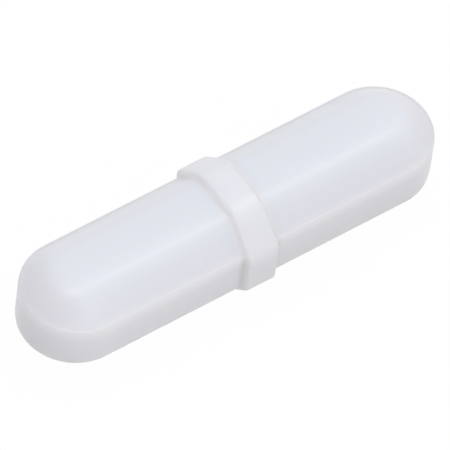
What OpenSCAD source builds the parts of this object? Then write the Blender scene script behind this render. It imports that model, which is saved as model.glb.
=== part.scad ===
// Magnetic stir bar with a pivot ring.
// The bar lies along X and stands on the crown of its ring at z = 0.

/* [Bar] */
// Length of the bar from end to end
bar_l = 49.6; // [40:0.2:80]
// Width of the bar across its upright band
bar_w = 12; // [12:0.5:16]
// Height of the bar from crown to crown
bar_h = 11.6; // [11.2:0.1:12]
// Height of the upright band that runs round the sides and ends
band_h = 5.4; // [5:0.1:6]
// Width of the step between the band and each slope
step_w = 0.3; // [0.2:0.05:0.4]
// Radius of the bends between the slopes and the flat crowns
bend_r = 3; // [1.5:0.1:3.5]
// Radius on the two outer edges of the band
band_edge_r = 0.25; // [0.2:0.05:0.25]

/* [Pivot ring] */
// How far the ring stands out from the bar
ring_t = 0.75; // [0.5:0.05:0.75]
// Width of the ring along the bar at mid height
ring_w = 3.8; // [3.4:0.1:6]
// Draft of the ring's side faces, which narrow towards both crowns
ring_draft = 1.146; // [1:0.001:4]
// Angle of the slopes, measured in the ring's drafted side face
face_slope = 46.7393; // [44:0.0001:48]
// Radius of the ring's bends between its slopes and its flanks
ring_bend_r = 1; // [1:0.1:1.4]
// Radius on the ring's outer edges
ring_edge_r = 0.3; // [0.2:0.05:0.35]
// Radius of the fillet where the ring rises from the bar
ring_foot_r = 0.4; // [0.2:0.05:0.4]

/* [Magnet] */
// Diameter of the magnet rod
magnet_d = 8; // [6:0.5:8]
// Length of the magnet rod
magnet_l = 42; // [30:1:42]
// Chamfer on the rims of the magnet rod
magnet_chamfer = 0.4; // [0.2:0.1:1]

/* [Hidden] */
$fn = 96;

function fine(v) = round(v * 10000) / 10000;

// Where the straight middle ends and the round ends begin
end_x = (bar_l - bar_w) / 2;
// Mid height of the bar above the surface that it stands on
mid_z = bar_h / 2 + ring_t;
// Angle of the slopes in the cross-section, and the direction of a slope's
// normal, counted up from the side
slope = atan(tan(face_slope) * cos(ring_draft));
normal = [sin(slope), cos(slope)];
// Foot of a slope, and how far its line lies from the centre of the section
slope_foot = [bar_w / 2 - step_w, band_h / 2];
slope_off = slope_foot * normal;
// Centre of the bend between slope and crown
bend = [(slope_off - bend_r - (bar_h / 2 - bend_r) * normal.y) / normal.x, bar_h / 2 - bend_r];
// Centre of the ring's bend between slope and flank, and the part of its
// radius that lies within the bar
inner_r = ring_bend_r - ring_t;
corner = [bar_w / 2 - inner_r, (slope_off - inner_r - (bar_w / 2 - inner_r) * normal.x) / normal.y];

// Each rim of the ring is swept in a frame that leans by the draft. There the
// crown lies higher by the stretch of the lean and by the lift of the edge's
// radius, and the path is crown, bend, slope, corner and flank.
lift = ring_edge_r * tan(ring_draft);
crown_level = fine(bar_h / 2 / cos(ring_draft) + lift);
crown_run = fine(bend.x);
slope_run = fine((bar_w / 2 - inner_r - crown_run - (bend_r - inner_r) * sin(face_slope)) / cos(face_slope));
flank_run = band_h / 2;
// How deep the rims are rooted in the bar
root = 0.25;
// How far the rims lie under the ring's outer face, and how far the fillet at
// their foot runs under the bar's surface, which the lean would lift
rim_sink = 0.008;
foot_sink = fine(0.01 + lift + ring_foot_r * tan(ring_draft));
big = 2 * bar_l;

module four_quarters() {
    for (side = [0, 1], level = [0, 1])
        mirror([side, 0]) mirror([0, level]) children();
}

// Cross-section of the bar: flat crowns, round bends, slopes, a step and an
// upright band
module bar_section() {
    four_quarters() {
        polygon([
            [0, 0],
            [slope_foot.x, 0],
            slope_foot,
            bend + bend_r * normal,
            bend + [0, bend_r],
            [0, bar_h / 2]
        ]);
        translate(bend) circle(r = bend_r);
        translate([bar_w / 2 - band_edge_r, band_h / 2 - band_edge_r]) circle(r = band_edge_r);
    }
    square([bar_w - 2 * band_edge_r, band_h], center = true);
    square([bar_w, band_h - 2 * band_edge_r], center = true);
}

// The half of the cross-section that a round end is turned from
module bar_half_section() {
    intersection() {
        bar_section();
        translate([0, -bar_h]) square([bar_w, 2 * bar_h]);
    }
}

module bar_body() {
    rotate([90, 0, 90])
        linear_extrude(height = 2 * end_x, center = true) bar_section();
    for (turn = [0, 180])
        rotate([0, 0, turn])
            translate([end_x, 0, 0])
                rotate([0, 0, -90])
                    rotate_extrude(angle = 180) bar_half_section();
}

// Cross-section of the ring: the bar's faces moved outwards, with no step
module ring_section() {
    four_quarters() {
        polygon([
            [0, 0],
            corner,
            corner + ring_bend_r * normal,
            bend + (bend_r + ring_t) * normal,
            bend
        ]);
        translate(corner) circle(r = ring_bend_r);
        translate(bend) circle(r = bend_r + ring_t);
    }
    square([bar_w + 2 * ring_t, 2 * corner.y], center = true);
    square([2 * bend.x, bar_h + 2 * ring_t], center = true);
}

// The ring between its two rims, narrower towards the crowns
module ring_core() {
    half = ring_w / 2 - ring_edge_r * (1 - sin(ring_draft)) / cos(ring_draft);
    end = half - bar_h * tan(ring_draft);
    intersection() {
        rotate([90, 0, 90])
            linear_extrude(height = ring_w, center = true) ring_section();
        rotate([90, 0, 0])
            linear_extrude(height = big, center = true)
                polygon([[half, 0], [end, bar_h], [-end, bar_h], [-half, 0], [-end, -bar_h], [end, -bar_h]]);
    }
}

// Profile of a rim, cut across its path: a wall with a round outer edge and a
// fillet at its foot. Out of the bar is +X, towards the middle of the ring is
// +Y, the wall's face lies on Y = 0 and the bar's surface lies at level.
module rim_profile(level) {
    edge = level + ring_t - rim_sink - ring_edge_r;
    foot = level - foot_sink + ring_foot_r;
    base = level - root;
    translate([base, 0]) square([edge - base, 2 * ring_edge_r]);
    translate([edge, ring_edge_r]) circle(r = ring_edge_r);
    difference() {
        translate([base, -ring_foot_r]) square([foot - base, ring_foot_r + ring_edge_r]);
        translate([foot, -ring_foot_r]) circle(r = ring_foot_r);
    }
}

// A straight run of the rim along +Y, with the bar's surface at X = 0
module rim_run(length) {
    translate([0, length, 0]) rotate([90, 0, 0])
        linear_extrude(height = length) rim_profile(0);
}

// Half of a rim, from the crown's middle to mid height. Each part of the path
// starts where the one before it ends.
module half_rim() {
    translate([crown_level - bend_r, crown_run, 0]) {
        rotate_extrude(angle = face_slope) rim_profile(bend_r);
        rotate([0, 0, face_slope])
            translate([bend_r, 0, 0]) {
                rim_run(slope_run);
                translate([-inner_r, slope_run, 0]) {
                    rotate_extrude(angle = 90 - face_slope) rim_profile(inner_r);
                    rotate([0, 0, 90 - face_slope])
                        translate([inner_r, 0, 0]) rim_run(flank_run);
                }
            }
    }
}

// One rim from mid height up, over the crown and down to mid height again
module rim() {
    intersection() {
        translate([-ring_w / 2, 0, 0])
            rotate([0, ring_draft, 0]) {
                for (side = [0, 1])
                    mirror([0, side, 0]) rotate([180, -90, 0]) half_rim();
                rotate([180, -90, 0])
                    translate([crown_level, -crown_run, 0]) rim_run(2 * crown_run);
            }
        translate([-big, -big / 2, 0]) cube(big);
    }
}

module ring() {
    ring_core();
    for (side = [0, 1], level = [0, 1])
        mirror([side, 0, 0]) mirror([0, 0, level]) rim();
}

// Round rod with chamfered rims; the jacket's hollow has the same form
module magnet_rod() {
    rotate([0, 90, 0])
        rotate_extrude()
            polygon([
                [0, -magnet_l / 2],
                [magnet_d / 2 - magnet_chamfer, -magnet_l / 2],
                [magnet_d / 2, -magnet_l / 2 + magnet_chamfer],
                [magnet_d / 2, magnet_l / 2 - magnet_chamfer],
                [magnet_d / 2 - magnet_chamfer, magnet_l / 2],
                [0, magnet_l / 2]
            ]);
}

module jacket() {
    color("white")
        translate([0, 0, mid_z])
            difference() {
                union() {
                    bar_body();
                    ring();
                }
                magnet_rod();
            }
}

module magnet() {
    color("dimgray")
        translate([0, 0, mid_z]) magnet_rod();
}

jacket();
magnet();
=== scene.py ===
import math

import bmesh
import bpy
import numpy as np
from mathutils import Matrix, Vector


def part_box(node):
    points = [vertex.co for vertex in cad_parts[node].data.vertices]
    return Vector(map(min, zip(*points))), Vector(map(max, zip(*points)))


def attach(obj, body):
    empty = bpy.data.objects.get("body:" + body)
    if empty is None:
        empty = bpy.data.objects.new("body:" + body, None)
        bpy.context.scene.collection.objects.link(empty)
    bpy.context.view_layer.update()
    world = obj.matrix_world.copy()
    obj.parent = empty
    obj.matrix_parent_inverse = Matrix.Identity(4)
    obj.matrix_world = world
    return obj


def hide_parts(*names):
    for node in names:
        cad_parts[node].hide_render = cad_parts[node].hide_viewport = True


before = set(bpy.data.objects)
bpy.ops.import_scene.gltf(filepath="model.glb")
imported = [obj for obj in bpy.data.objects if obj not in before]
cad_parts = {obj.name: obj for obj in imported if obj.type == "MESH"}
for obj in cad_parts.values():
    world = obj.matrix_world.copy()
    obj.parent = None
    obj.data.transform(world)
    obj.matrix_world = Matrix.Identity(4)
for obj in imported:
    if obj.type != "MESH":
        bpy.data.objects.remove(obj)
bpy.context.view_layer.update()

mm = 0.001
low, high = (np.array(corner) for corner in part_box("jacket"))
midHeight = (low[2] + high[2]) / 2
print("frame loaded, jacket", np.round((high - low) / mm, 2), "mm")


# The jacket: a bar of eight-sided section with round ends and a ring round its middle, moulded in one

jacketForm = {
    "ringOut": 0.75 * mm,      # how far the ring stands out of the bar
    "ringWidth": 3.8 * mm,     # along the bar, at mid height
    "ringDraft": 1.146,        # lean of the ring's walls, degrees
    "ringFoot": 0.4 * mm,      # fillet where the ring rises from the bar
    "ringEdge": 0.3 * mm,      # round outer edge of the ring
    "ringCorner": 1.0 * mm,    # bend between the ring's slopes and flanks
    "slope": 46.73,            # lean of the slopes' normals from upright, degrees
    "crownRadius": 16 * mm,    # the crowns are nearly flat
    "bendRadius": 3 * mm,      # between crown and slope
    "bandHeight": 5.4 * mm,    # upright band round the sides and ends
    "bandStep": 0.3 * mm,      # ledge between slope and band
    "bandEdge": (0.16 * mm, 0.60 * mm),    # soft edge of the band, across and upright
    "hollow": 0.30 * mm,       # small hollow at the foot of a slope
    "footMargin": 0.20 * mm,   # room left beside the ring's foot for its leaning wall
    # rows of faces over each stretch of a quarter section, and of half the bar's length
    "around": {"crown": 10, "bend": 16, "slope": 14, "hollow": 6, "ledge": 1, "edge": 12, "flank": 8},
    "along": {"roundEnd": 48, "straight": 40, "rim": 13, "ringCrown": 8},
}
halfLength = (high[0] - low[0]) / 2
halfWidth = (high[1] - low[1]) / 2 - jacketForm["ringOut"]
halfHeight = (high[2] - low[2]) / 2 - jacketForm["ringOut"]
straightEnd = halfLength - halfWidth


# Points start + t (end - start), t from 0 up to but not at 1
def run(start, end, count):
    t = np.linspace(0, 1, count, endpoint=False)[:, None]
    return np.array(start) + t * (np.array(end) - np.array(start))


# Points centre + radius (sin tilt, cos tilt), tilt in degrees from upright, up to but not at the last
def arc(centre, radius, first, last, count):
    tilt = np.radians(np.linspace(first, last, count, endpoint=False))[:, None]
    return np.array(centre) + radius * np.hstack([np.sin(tilt), np.cos(tilt)])


# A quarter of the bar's section as (width, height), from the middle of the crown to the middle of the
# flank: shallow crown arc, bend, slope, small hollow, ledge, elliptical edge, upright flank. The crown arc
# and the bend meet where both circles have the same normal.
def barQuarter(form):
    slope, crownR, bendR = form["slope"], form["crownRadius"], form["bendRadius"]
    normal = np.array([math.sin(math.radians(slope)), math.cos(math.radians(slope))])
    foot = np.array([halfWidth - form["bandStep"], form["bandHeight"] / 2])
    crownC = halfHeight - crownR
    join = slope - math.degrees(math.acos((foot @ normal - bendR - crownC * normal[1]) / (crownR - bendR)))
    bendC = arc((0, crownC), crownR - bendR, join, join, 1)[0]
    steps, hollow, edge = form["around"], form["hollow"], np.array(form["bandEdge"])
    back = hollow * math.tan(math.radians(slope / 2))
    edgeC = foot + (form["bandStep"], 0) - edge
    return np.vstack([
        arc((0, crownC), crownR, 0, join, steps["crown"]),
        arc(bendC, bendR, join, slope, steps["bend"]),
        run(bendC + bendR * normal, foot + back * np.array([-normal[1], normal[0]]), steps["slope"]),
        arc(foot + (back, hollow), hollow, 180 + slope, 180, steps["hollow"]),
        run(foot + (back, 0), edgeC + (0, edge[1]), steps["ledge"]),
        edgeC + edge * arc((0, 0), 1, 0, 90, steps["edge"]),
        run(edgeC + (edge[0], 0), (halfWidth, 0), steps["flank"]),
        [(halfWidth, 0)],
    ])


# A quarter of the ring's section with as many points: the bar's faces moved out, with a flat crown, and
# with a round corner in place of the ledge
def ringQuarter(form):
    slope, out, bendR, cornerR = form["slope"], form["ringOut"], form["bendRadius"], form["ringCorner"]
    normal = np.array([math.sin(math.radians(slope)), math.cos(math.radians(slope))])
    foot = np.array([halfWidth - form["bandStep"], form["bandHeight"] / 2])
    offset = foot @ normal
    bendC = np.array([(offset - bendR - (halfHeight - bendR) * normal[1]) / normal[0], halfHeight - bendR])
    cornerW = halfWidth + out - cornerR
    cornerC = np.array([cornerW, (offset + out - cornerR - cornerW * normal[0]) / normal[1]])
    aboveFoot = foot + out * normal
    steps = form["around"]
    return np.vstack([
        run((0, halfHeight + out), bendC + (0, bendR + out), steps["crown"]),
        arc(bendC, bendR + out, 0, slope, steps["bend"]),
        run(bendC + (bendR + out) * normal, aboveFoot, steps["slope"]),
        run(aboveFoot, cornerC + cornerR * normal, steps["hollow"] + steps["ledge"]),
        arc(cornerC, cornerR, slope, 90, steps["edge"]),
        run(cornerC + (cornerR, 0), (halfWidth + out, 0), steps["flank"]),
        [(halfWidth + out, 0)],
    ])


# A quarter mirrored into the closed section, from the upper crown over +Y and the lower crown and back
def wholeSection(quarter):
    half = np.vstack([quarter, quarter[::-1][1:] * (1, -1)])
    return np.vstack([half, half[::-1][1:-1] * (-1, 1)])


# The skin as a grid. A row is one station and a column one point of the section.
# Round end: the section's halves turned about the end's upright axis by 0 to 90 degrees. Straight part: the
# section at x, with stations closer together at both ends, as ease = 0.4 t + 0.3 (1 - cos(pi t)) spaces them.
# Ring: bar section + share (ring section - bar section), where share rises from 0 to 1 over a hollow and a
# round edge, at x = wall + inset, and the wall leans by the draft.
def jacketSkin(form):
    bar, ring, steps = wholeSection(barQuarter(form)), wholeSection(ringQuarter(form)), form["along"]
    width, height = bar[None, :, 0], bar[None, :, 1]
    turn = np.radians(np.linspace(90, 0, steps["roundEnd"] + 1))[:-1, None]
    endX, endY = -straightEnd - abs(width) * np.sin(turn), width * np.cos(turn)
    end = np.dstack(np.broadcast_arrays(endX, endY, height))

    footX = form["ringWidth"] / 2 + form["ringFoot"] + form["footMargin"]
    t = np.linspace(0, 1, steps["straight"])
    ease = 0.4 * t + 0.3 * (1 - np.cos(np.pi * t))
    x = (-straightEnd + (straightEnd - footX) * ease)[:, None]
    straight = np.dstack(np.broadcast_arrays(x, width, height))

    tilt = np.radians(np.linspace(0, 90, steps["rim"] + 1))[:, None]
    footR, edgeR = form["ringFoot"], form["ringEdge"]
    inset = np.vstack([footR * (np.sin(tilt) - 1), edgeR * (1 - np.cos(tilt[1:]))])
    rise = np.vstack([footR * (1 - np.cos(tilt)), form["ringOut"] - edgeR * (1 - np.sin(tilt[1:]))])
    share = rise / form["ringOut"]
    climbW = width + share * (ring[None, :, 0] - width)
    climbH = height + share * (ring[None, :, 1] - height)
    wall = abs(climbH) * math.tan(math.radians(form["ringDraft"])) - form["ringWidth"] / 2
    climb = np.dstack([wall + inset, climbW, climbH])

    crown = np.repeat(climb[-1:], steps["ringCrown"], axis=0)
    crown[..., 0] *= np.linspace(1, 0, steps["ringCrown"] + 1)[1:, None]
    half = np.vstack([end, straight, climb, crown])
    whole = np.vstack([half, half[::-1][1:] * (-1, 1, 1)])
    return whole + (0, 0, midHeight)


samePoint = 0.001 * mm    # points nearer than this are one


# A closed object from a grid whose last column joins its first. Points that coincide become one.
def closedSkin(name, grid):
    rows, columns = grid.shape[:2]
    index = np.arange(rows * columns).reshape(rows, columns)
    beside = np.roll(index, -1, axis=1)
    faces = np.stack([index[:-1], index[1:], beside[1:], beside[:-1]], axis=-1).reshape(-1, 4)
    mesh = bpy.data.meshes.new(name)
    mesh.from_pydata(grid.reshape(-1, 3).tolist(), [], faces.tolist())
    work = bmesh.new()
    work.from_mesh(mesh)
    bmesh.ops.remove_doubles(work, verts=work.verts, dist=samePoint)
    bmesh.ops.recalc_face_normals(work, faces=work.faces)
    work.to_mesh(mesh)
    work.free()
    mesh.shade_smooth()
    skin = bpy.data.objects.new(name, mesh)
    bpy.context.scene.collection.objects.link(skin)
    return skin


jacket = closedSkin("jacketSkin", jacketSkin(jacketForm))
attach(jacket, "root")
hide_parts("jacket")
print("jacket skin:", len(jacket.data.vertices), "points,", len(jacket.data.polygons), "faces")


# Materials

# A socket with arithmetic: an expression on it adds the Math nodes
class Wire:
    def __init__(self, tree, socket):
        self.tree, self.socket = tree, socket

    def node(self, kind, settings=None, inputs=None, output=0):
        made = self.tree.nodes.new("ShaderNode" + kind)
        for key, value in (settings or {}).items():
            setattr(made, key, value)
        for key, value in (inputs or {}).items():
            if isinstance(value, Wire):
                self.tree.links.new(value.socket, made.inputs[key])
            else:
                made.inputs[key].default_value = value
        return Wire(self.tree, made.outputs[output])

    def maths(self, operation, first, second):
        return self.node("Math", {"operation": operation}, {0: first, 1: second})

    def __add__(self, other):
        return self.maths("ADD", self, other)

    def __sub__(self, other):
        return self.maths("SUBTRACT", self, other)

    def __rsub__(self, other):
        return self.maths("SUBTRACT", other, self)

    def __mul__(self, other):
        return self.maths("MULTIPLY", self, other)

    __radd__, __rmul__ = __add__, __mul__

    def size(self):
        return self.maths("ABSOLUTE", self, 0)

    # 0 below the first value, 1 above the last, smooth between
    def between(self, first, last):
        span = {"interpolation_type": "SMOOTHSTEP"}
        return self.node("MapRange", span, {"Value": self, "From Min": first, "From Max": last})

    # Colours mixed by this value as the factor
    def blend(self, first, second):
        first, second = (colour if isinstance(colour, Wire) else (*colour, 1) for colour in (first, second))
        return self.node("Mix", {"data_type": "RGBA"}, {0: self, 6: first, 7: second}, output=2)


# A material with its constant sockets set, its shader and its Object coordinates
def newMaterial(name, fixed):
    material = bpy.data.materials.new(name)
    material.use_nodes = True
    shader = material.node_tree.nodes["Principled BSDF"]
    for key, value in fixed.items():
        shader.inputs[key].default_value = value
    place = Wire(material.node_tree, None).node("TexCoord", output=3)
    return material, shader, place


def plug(wire, shader, key):
    wire.tree.links.new(wire.socket, shader.inputs[key])


# In a pair of lengths a tone comes in from the first to the second, and in an Out pair it goes again
fluoropolymer = {
    "milky": (0.848, 0.838, 0.888),     # round the sides and ends, where the wall is thick, and on the flanks, where no painted top light goes
    "coreAndTopLight": (0.826, 0.845, 0.893),      # over the magnet, which lies close under the wall, with painted bluish top light: on the crowns and slopes only
    "ring": (0.872, 0.870, 0.917),
    "shoulderHighlight": (0.895, 0.892, 0.965),  # painted highlight along the thin ledge above the band
    "footShadeTone": (0.852, 0.846, 0.868),      # painted shade tone along the ring's foot, warmer and less blue than the bar
    "paintedCreaseShade": (0.79, 0.785, 0.792),     # painted shade, darker low down in the crease at the ring's foot
    "ringLevel": (6.1 * mm, 6.6 * mm),  # from the bar's middle line outwards
    "ledgeIn": (1.0 * mm, 2.4 * mm),    # above and below mid height
    "ledgeOut": (2.4 * mm, 3.3 * mm),
    "highlightShare": 0.8,
    "footShadeIn": (1.5 * mm, 2.05 * mm),    # along the bar from its middle
    "footShadeOut": (2.15 * mm, 2.75 * mm),
    "creaseOut": (1.8 * mm, 3.0 * mm),  # above and below mid height
    "coreIn": (2.8 * mm, 3.4 * mm),     # above and below mid height, so the painted top light stays off the band
    "coreOut": (20.6 * mm, 22.4 * mm),  # along the bar from its middle
    "coreSides": (3.0 * mm, 4.9 * mm),  # where it fades across the bar
    "coreFade": 0.6,                    # share of the core's tone that is lost there
    "coreShares": (0.8, 0.4),           # of the core's tone: steady, and with the clouds
    "roughness": 0.28,
    "refraction": 1.42,
    "spread": (1.0, 1.0, 0.9),          # how far red, green and blue light go inside, in parts of depth
    "depth": 5 * mm,
    "clouds": {"Scale": 160.0, "Detail": 3.0, "Roughness": 0.55},
    "grain": {"Scale": 1500.0, "Detail": 1.0},
    "relief": {"Strength": 0.12, "Distance": 0.03 * mm},
    "reliefShares": (0.25, 2.0),        # of grain and of clouds in the relief
}


# Milky fluoropolymer: its tone follows where a point lies on the bar or ring, with faint clouds in it. Light
# and shade are painted into it too: bluish top light on the crowns and slopes, a highlight along the ledges,
# and shade in the crease at the ring's foot.
def jacketMaterial(finish):
    material, shader, place = newMaterial("jacketFluoropolymer", {
        "Roughness": finish["roughness"],
        "IOR": finish["refraction"],
        "Subsurface Weight": 1.0,
        "Subsurface Radius": finish["spread"],
        "Subsurface Scale": finish["depth"],
    })
    split = place.node("SeparateXYZ", inputs={0: place})
    x, y, z = (Wire(split.tree, output) for output in split.socket.node.outputs)
    along, across, above = x.size(), y.size(), (z - midHeight).size()
    tilt = math.radians(jacketForm["slope"])
    slopeLevel = across * math.sin(tilt) + above * math.cos(tilt)
    level = slopeLevel.maths("MAXIMUM", slopeLevel, above * (halfWidth / halfHeight))
    onRing = level.between(*finish["ringLevel"])
    # Painted highlight: the ledges above and below the band are made lighter and bluer, standing in for light
    # catching them
    ledge = above.between(*finish["ledgeIn"]) * (1 - above.between(*finish["ledgeOut"]))
    # Painted shade at the ring's foot: a warmer, less blue tone in the crease all round the ring
    beside = along.between(*finish["footShadeIn"]) * (1 - along.between(*finish["footShadeOut"]))
    # Painted shade: darker low down in the crease at the ring's foot
    creaseShadeMask = beside * (1 - above.between(*finish["creaseOut"]))
    # The magnet's tone under the wall with painted bluish top light: kept to the crowns and slopes, fading
    # across the bar
    coreAndTopLightMask = above.between(*finish["coreIn"]) * (1 - along.between(*finish["coreOut"])) * (1 - beside)
    coreAndTopLightMask = coreAndTopLightMask * (1 - finish["coreFade"] * across.between(*finish["coreSides"]))
    cloud = place.node("TexNoise", inputs={"Vector": place, **finish["clouds"]})
    speckle = place.node("TexNoise", inputs={"Vector": place, **finish["grain"]})
    steady, cloudy = finish["coreShares"]
    # magnet's tone and painted top light, with faint clouds
    colour = (coreAndTopLightMask * (steady + cloudy * cloud)).blend(finish["milky"], finish["coreAndTopLight"])
    # painted highlight along the ledges
    colour = (ledge * finish["highlightShare"]).blend(colour, finish["shoulderHighlight"])
    # painted shade tone in the crease at the ring's foot
    colour = beside.blend(colour, finish["footShadeTone"])
    colour = onRing.blend(colour, finish["ring"])
    # painted shade in the lower crease at the ring's foot
    plug(creaseShadeMask.blend(colour, finish["paintedCreaseShade"]), shader, "Base Color")
    fine, coarse = finish["reliefShares"]
    relief = {**finish["relief"], "Height": fine * speckle + coarse * cloud}
    plug(place.node("Bump", inputs=relief), shader, "Normal")
    return material


jacket.data.materials.append(jacketMaterial(fluoropolymer))

magnetAlloy = {
    "dark": (0.055, 0.056, 0.06),
    "bright": (0.16, 0.16, 0.165),
    "toneRange": (0.3, 0.75),    # of the grain, from dark to bright
    "roughness": 0.42,
    "roughnessChange": 0.25,
    "grain": {"Scale": 900.0, "Detail": 4.0, "Roughness": 0.7},
    "relief": {"Strength": 0.3, "Distance": 0.05 * mm},
}


# Cast metal as ground: dark, with some grains brighter and rougher
def magnetMaterial(finish):
    material, shader, place = newMaterial("magnetAlloy", {"Metallic": 1.0})
    grain = place.node("TexNoise", inputs={"Vector": place, **finish["grain"]})
    plug(grain.between(*finish["toneRange"]).blend(finish["dark"], finish["bright"]), shader, "Base Color")
    plug(finish["roughness"] + finish["roughnessChange"] * (grain - 0.5), shader, "Roughness")
    plug(place.node("Bump", inputs={**finish["relief"], "Height": grain}), shader, "Normal")
    return material


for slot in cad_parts["magnet"].material_slots:
    slot.material = magnetMaterial(magnetAlloy)
print("materials made")


# Floor, light and camera

studio = {
    "floorSize": 3.0,
    "floorColour": (0.66, 0.65, 0.635),
    "floorWhite": 1.021,      # strength at which the floor and its own shading come to white
    "shadowShare": 0.05,      # how much of the floor's own shading shows
    "horizon": (1.0, 0.995, 0.99),
    "zenith": (0.985, 1.0, 1.03),
    "tintRise": (0.0, 0.9),   # heights between which the tint turns from horizon to zenith
    "skyLow": 0.085,          # soft light from the horizon
    "skyRise": 0.86,          # added towards the zenith
    "skySides": 0.28,         # added towards -Y and +Y
    "skyLean": (0.03, 0.04),  # a little more from +X and from +Y
}


# 1 for rays from the camera and those that meet the studio in gloss or through clear stuff, 0 for soft light
def seenDirectly(start):
    ray = start.node("LightPath")
    camera, glossy, through = (Wire(ray.tree, ray.socket.node.outputs["Is " + kind + " Ray"])
                               for kind in ("Camera", "Glossy", "Transmission"))
    return (camera + glossy + through).between(0.0, 1.0)


# A white floor with a little of its own shading
def floorMaterial(look):
    material = bpy.data.materials.new("floorWhite")
    material.use_nodes = True
    tree = material.node_tree
    tree.nodes.clear()
    start = Wire(tree, None)
    matt = start.node("BsdfDiffuse", inputs={"Color": (*look["floorColour"], 1)})
    white = start.node("Emission", inputs={"Color": (1, 1, 1, 1), "Strength": look["floorWhite"]})
    share = seenDirectly(start) * (1 - look["shadowShare"])
    mix = start.node("MixShader", inputs={0: share, 1: matt, 2: white})
    end = tree.nodes.new("ShaderNodeOutputMaterial")
    tree.links.new(mix.socket, end.inputs["Surface"])
    material.cycles.emission_sampling = "NONE"    # its white is for looks and lights nothing
    return material


# The floor, and a sky whose strength is low + rise (height, never below 0) + sides |y| + a lean along x and y
def makeStudio(look):
    half = look["floorSize"] / 2
    corners = [(-half, -half, 0), (half, -half, 0), (half, half, 0), (-half, half, 0)]
    mesh = bpy.data.meshes.new("floor")
    mesh.from_pydata(corners, [], [(0, 1, 2, 3)])
    mesh.materials.append(floorMaterial(look))
    floor = bpy.data.objects.new("floor", mesh)
    bpy.context.scene.collection.objects.link(floor)
    world = bpy.data.worlds.new("studio")
    world.use_nodes = True
    backdrop = world.node_tree.nodes["Background"]
    ahead = Wire(world.node_tree, None).node("TexCoord", output=3)
    split = ahead.node("SeparateXYZ", inputs={0: ahead})
    x, y, z = (Wire(world.node_tree, output) for output in split.socket.node.outputs)
    leanX, leanY = look["skyLean"]
    sky = look["skyLow"] + look["skyRise"] * z.maths("MAXIMUM", z, 0) + look["skySides"] * y.size()
    sky = sky + leanX * x + leanY * y
    seen = seenDirectly(ahead)
    plug(seen + (1 - seen) * sky, backdrop, "Strength")
    tint = z.between(*look["tintRise"]).blend(look["horizon"], look["zenith"])
    plug(seen.blend(tint, (1, 1, 1)), backdrop, "Color")
    world.cycles.sampling_method = "NONE"    # a smooth sky is met by chance evenly enough
    bpy.context.scene.world = world


makeStudio(studio)

# The last one shows only in the gloss
lamps = {
    "softbox": {"place": (0.464, 0.0, 1.104), "size": (0.30, 0.55), "radiance": 2.55, "glossOnly": False},
    "sideFill": {"place": (-0.028, -0.09, 0.045), "size": (0.08, 0.06), "radiance": 0.80, "glossOnly": False},
    "sparkle": {"place": (-0.24, -0.18, 0.96), "size": (0.45, 0.45), "radiance": 3.6, "glossOnly": True},
}


# A rectangular lamp at its place, turned to the part's middle
def makeLamp(name, lamp):
    light = bpy.data.lights.new(name, "AREA")
    light.shape = "RECTANGLE"
    light.size, light.size_y = lamp["size"]
    light.energy = lamp["radiance"] * math.pi * light.size * light.size_y
    place = Vector(lamp["place"])
    back = (place - Vector((0, 0, midHeight))).normalized()
    across = Vector((0, 1, 0)).cross(back).normalized()
    obj = bpy.data.objects.new(name, light)
    turned = Matrix((across, back.cross(across), back)).transposed().to_4x4()
    obj.matrix_world = Matrix.Translation(place) @ turned
    obj.visible_camera = False
    obj.visible_diffuse = not lamp["glossOnly"]
    bpy.context.scene.collection.objects.link(obj)


for name, lamp in lamps.items():
    makeLamp(name, lamp)

cameraPlace = {
    "azimuth": 40.968,
    "elevation": 53.837,
    "roll": 7.966,
    "distance": 0.984,
    "pixelsPerMm": 9.718,
    "picture": 450,               # pixels along each side
    "centre": (226.0, 223.49),    # where the part's middle falls, from the top left
    "sensor": 36,                 # millimetres wide
    "clip": (0.05, 10),           # nearest and farthest that it sees
}


# The camera looks along its azimuth and elevation, turned by its roll, past the part's middle
def makeCamera(place):
    azimuth, elevation, roll = (math.radians(place[key]) for key in ("azimuth", "elevation", "roll"))
    flat = math.cos(elevation)
    ahead = Vector((math.sin(azimuth) * flat, math.cos(azimuth) * flat, -math.sin(elevation)))
    level = Vector((math.cos(azimuth), -math.sin(azimuth), 0))
    upright = level.cross(ahead)
    right = math.cos(roll) * level + math.sin(roll) * upright
    up = math.cos(roll) * upright - math.sin(roll) * level
    metresPerPixel = mm / place["pixelsPerMm"]
    aim = Vector((0, 0, midHeight))
    offX, offY = (place["picture"] / 2 - value for value in place["centre"])
    aim += (right * offX - up * offY) * metresPerPixel
    data = bpy.data.cameras.new("camera")
    data.sensor_width = place["sensor"]
    data.lens = place["sensor"] * place["distance"] / (place["picture"] * metresPerPixel)
    data.clip_start, data.clip_end = place["clip"]
    camera = bpy.data.objects.new("camera", data)
    axes = Matrix((right, up, -ahead)).transposed().to_4x4()
    camera.matrix_world = Matrix.Translation(aim - ahead * place["distance"]) @ axes
    bpy.context.scene.collection.objects.link(camera)
    bpy.context.scene.camera = camera


makeCamera(cameraPlace)
bpy.context.scene.view_settings.view_transform = "Standard"
print("floor, light and camera set")
